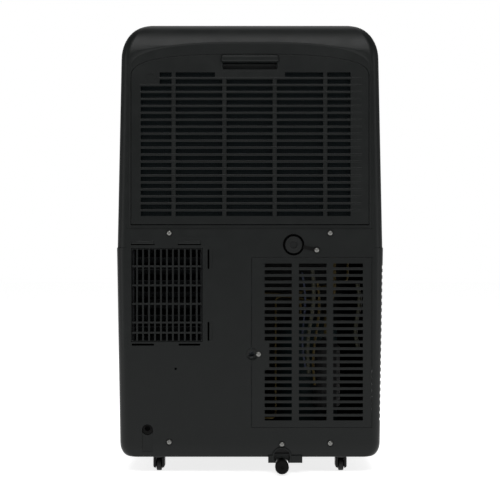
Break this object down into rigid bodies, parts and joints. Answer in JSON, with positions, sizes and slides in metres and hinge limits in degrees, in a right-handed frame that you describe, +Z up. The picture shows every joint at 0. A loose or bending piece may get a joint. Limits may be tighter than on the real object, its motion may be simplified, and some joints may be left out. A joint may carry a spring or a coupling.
{
  "type": "portable air conditioner",
  "caption": "Tall casing on casters with a tilting filter frame, slatted rear intakes, a barred hose outlet, two drains and an opening front flap.",
  "frame": {"origin": "on the floor, under the middle of the whole machine's box", "axes": "+Z up, +Y towards the rear with the intakes, hose outlet and drains, -Y towards the front air outlet, +X to the left as seen from the rear"},
  "size_m": [0.458, 0.386, 0.771],
  "materials": {
    "casing": "fine moulded texture, charcoal",
    "dark_plastic": "moulded, near black",
    "inner_plastic": "plain moulded",
    "board": "coated circuit board",
    "rubber": "soft moulded",
    "panel_gloss": "polished",
    "button": "satin",
    "caster_wheel": "hard nylon tread",
    "filter_mesh": "fine woven nylon mesh",
    "zinc": "zinc plated",
    "coil": "bare fins",
    "copper": "drawn copper tube",
    "black_paint": "gloss black paint"
  },
  "bodies": {
    "casing": {"rear_cover": "casing", "front_panel": "casing", "top_cover": "casing", "base_pan": "dark_plastic", "exhaust_grille": "casing", "cord_gland": "rubber", "control_panel": "panel_gloss", "drain_tether": "rubber", "lower_drain_spout": "casing", "upper_screw_left": "zinc", "upper_screw_right": "zinc", "tether_screw": "zinc", "drain_screw": "zinc", "lower_screw_left": "zinc", "lower_screw_right": "zinc", "control_board": "board", "cold_fan_scroll": "inner_plastic", "cold_fan_motor": "black_paint", "evaporator_coil": "coil", "condenser_coil": "coil", "hot_fan_scroll": "inner_plastic", "hot_fan_motor": "black_paint", "compressor": "black_paint", "accumulator": "black_paint", "suction_pipe": "copper", "discharge_pipe": "copper", "capillary_tube": "copper", "return_pipe": "copper", "drip_tray": "inner_plastic", "electrical_box": "inner_plastic", "upper_drain_nozzle": "casing"},
    "filter": {"filter_frame": "casing", "filter_mesh": "filter_mesh"},
    "intake_door": {"intake_grille": "casing", "intake_screw": "zinc"},
    "flap": {"air_flap": "casing"},
    "link": {"vane_link": "dark_plastic"},
    "vane_1": {"vane_1": "dark_plastic"},
    "vane_2": {"vane_2": "dark_plastic"},
    "vane_3": {"vane_3": "dark_plastic"},
    "vane_4": {"vane_4": "dark_plastic"},
    "power_button": {"power_button": "button"},
    "mode_button": {"mode_button": "button"},
    "fan_button": {"fan_button": "button"},
    "timer_button": {"timer_button": "button"},
    "warmer_button": {"warmer_button": "button"},
    "cooler_button": {"cooler_button": "button"},
    "cold_wheel": {"cold_fan_wheel": "dark_plastic"},
    "hot_wheel": {"hot_fan_wheel": "dark_plastic"},
    "gasket": {"drain_gasket": "rubber"},
    "cap": {"drain_cap": "rubber"},
    "plug": {"lower_drain_plug": "rubber"},
    "caster_fork_1": {"caster_fork_1": "dark_plastic"},
    "caster_wheel_1": {"caster_wheel_1": "caster_wheel"},
    "caster_fork_2": {"caster_fork_2": "dark_plastic"},
    "caster_wheel_2": {"caster_wheel_2": "caster_wheel"},
    "caster_fork_3": {"caster_fork_3": "dark_plastic"},
    "caster_wheel_3": {"caster_wheel_3": "caster_wheel"},
    "caster_fork_4": {"caster_fork_4": "dark_plastic"},
    "caster_wheel_4": {"caster_wheel_4": "caster_wheel"}
  },
  "joints": [
    {"name": "filter_tilt", "type": "hinge", "parent": "casing", "child": "filter", "pos_m": [0, 0.174, 0.431], "axis": [-1, 0, 0], "range_deg": [0, 30]},
    {"name": "intake_swing", "type": "hinge", "parent": "casing", "child": "intake_door", "pos_m": [-0.2055, 0.1795, 0.226], "axis": [0, 0, 1], "range_deg": [0, 60]},
    {"name": "flap_open", "type": "hinge", "parent": "casing", "child": "flap", "pos_m": [0, -0.1835, 0.611], "axis": [1, 0, 0], "range_deg": [0, 85]},
    {"name": "link_slide", "type": "slide", "parent": "casing", "child": "link", "axis": [1, 0, 0], "range_m": [-0.0047, 0.0047]},
    {"name": "vane_1_turn", "type": "hinge", "parent": "casing", "child": "vane_1", "pos_m": [-0.096, -0.148, 0.6155], "axis": [0, 0, 1], "range_deg": [-30, 30]},
    {"name": "vane_2_turn", "type": "hinge", "parent": "casing", "child": "vane_2", "pos_m": [-0.032, -0.148, 0.6155], "axis": [0, 0, 1], "range_deg": [-30, 30]},
    {"name": "vane_3_turn", "type": "hinge", "parent": "casing", "child": "vane_3", "pos_m": [0.032, -0.148, 0.6155], "axis": [0, 0, 1], "range_deg": [-30, 30]},
    {"name": "vane_4_turn", "type": "hinge", "parent": "casing", "child": "vane_4", "pos_m": [0.096, -0.148, 0.6155], "axis": [0, 0, 1], "range_deg": [-30, 30]},
    {"name": "power_button_press", "type": "slide", "parent": "casing", "child": "power_button", "axis": [0, 0, -1], "range_m": [0, 0.001], "stiffness_N_per_m": 800},
    {"name": "mode_button_press", "type": "slide", "parent": "casing", "child": "mode_button", "axis": [0, 0, -1], "range_m": [0, 0.001], "stiffness_N_per_m": 800},
    {"name": "fan_button_press", "type": "slide", "parent": "casing", "child": "fan_button", "axis": [0, 0, -1], "range_m": [0, 0.001], "stiffness_N_per_m": 800},
    {"name": "timer_button_press", "type": "slide", "parent": "casing", "child": "timer_button", "axis": [0, 0, -1], "range_m": [0, 0.001], "stiffness_N_per_m": 800},
    {"name": "warmer_button_press", "type": "slide", "parent": "casing", "child": "warmer_button", "axis": [0, 0, -1], "range_m": [0, 0.001], "stiffness_N_per_m": 800},
    {"name": "cooler_button_press", "type": "slide", "parent": "casing", "child": "cooler_button", "axis": [0, 0, -1], "range_m": [0, 0.001], "stiffness_N_per_m": 800},
    {"name": "cold_wheel_spin", "type": "hinge", "parent": "casing", "child": "cold_wheel", "pos_m": [0, 0.035, 0.55], "axis": [0, 1, 0], "continuous": true},
    {"name": "hot_wheel_spin", "type": "hinge", "parent": "casing", "child": "hot_wheel", "pos_m": [0.142, -0.035, 0.245], "axis": [-1, 0, 0], "continuous": true},
    {"name": "cap_rise", "type": "slide", "parent": "casing", "child": "gasket", "axis": [0, 1, 0], "range_m": [0, 0.0075]},
    {"name": "cap_turn", "type": "hinge", "parent": "gasket", "child": "cap", "pos_m": [-0.0745, 0.1768, 0.393], "axis": [0, 1, 0], "range_deg": [0, 900]},
    {"name": "plug_pull", "type": "slide", "parent": "casing", "child": "plug", "axis": [0, 1, 0], "range_m": [0, 0.015]},
    {"name": "caster_1_swivel", "type": "hinge", "parent": "casing", "child": "caster_fork_1", "pos_m": [0.158, 0.144, 0.033], "axis": [0, 0, 1], "continuous": true},
    {"name": "caster_1_roll", "type": "hinge", "parent": "caster_fork_1", "child": "caster_wheel_1", "pos_m": [0.158, 0.138, 0.012], "axis": [1, 0, 0], "continuous": true},
    {"name": "caster_2_swivel", "type": "hinge", "parent": "casing", "child": "caster_fork_2", "pos_m": [-0.158, 0.144, 0.033], "axis": [0, 0, 1], "continuous": true},
    {"name": "caster_2_roll", "type": "hinge", "parent": "caster_fork_2", "child": "caster_wheel_2", "pos_m": [-0.158, 0.138, 0.012], "axis": [1, 0, 0], "continuous": true},
    {"name": "caster_3_swivel", "type": "hinge", "parent": "casing", "child": "caster_fork_3", "pos_m": [0.158, -0.144, 0.033], "axis": [0, 0, 1], "continuous": true},
    {"name": "caster_3_roll", "type": "hinge", "parent": "caster_fork_3", "child": "caster_wheel_3", "pos_m": [0.158, -0.15, 0.012], "axis": [1, 0, 0], "continuous": true},
    {"name": "caster_4_swivel", "type": "hinge", "parent": "casing", "child": "caster_fork_4", "pos_m": [-0.158, -0.144, 0.033], "axis": [0, 0, 1], "continuous": true},
    {"name": "caster_4_roll", "type": "hinge", "parent": "caster_fork_4", "child": "caster_wheel_4", "pos_m": [-0.158, -0.15, 0.012], "axis": [1, 0, 0], "continuous": true}
  ],
  "couplings": [
    {"joint": "vane_1_turn", "follows": "link_slide", "rad_per_m": -111.11},
    {"joint": "vane_2_turn", "follows": "link_slide", "rad_per_m": -111.11},
    {"joint": "vane_3_turn", "follows": "link_slide", "rad_per_m": -111.11},
    {"joint": "vane_4_turn", "follows": "link_slide", "rad_per_m": -111.11},
    {"joint": "cap_rise", "follows": "cap_turn", "m_per_rad": 0.00047746}
  ]
}
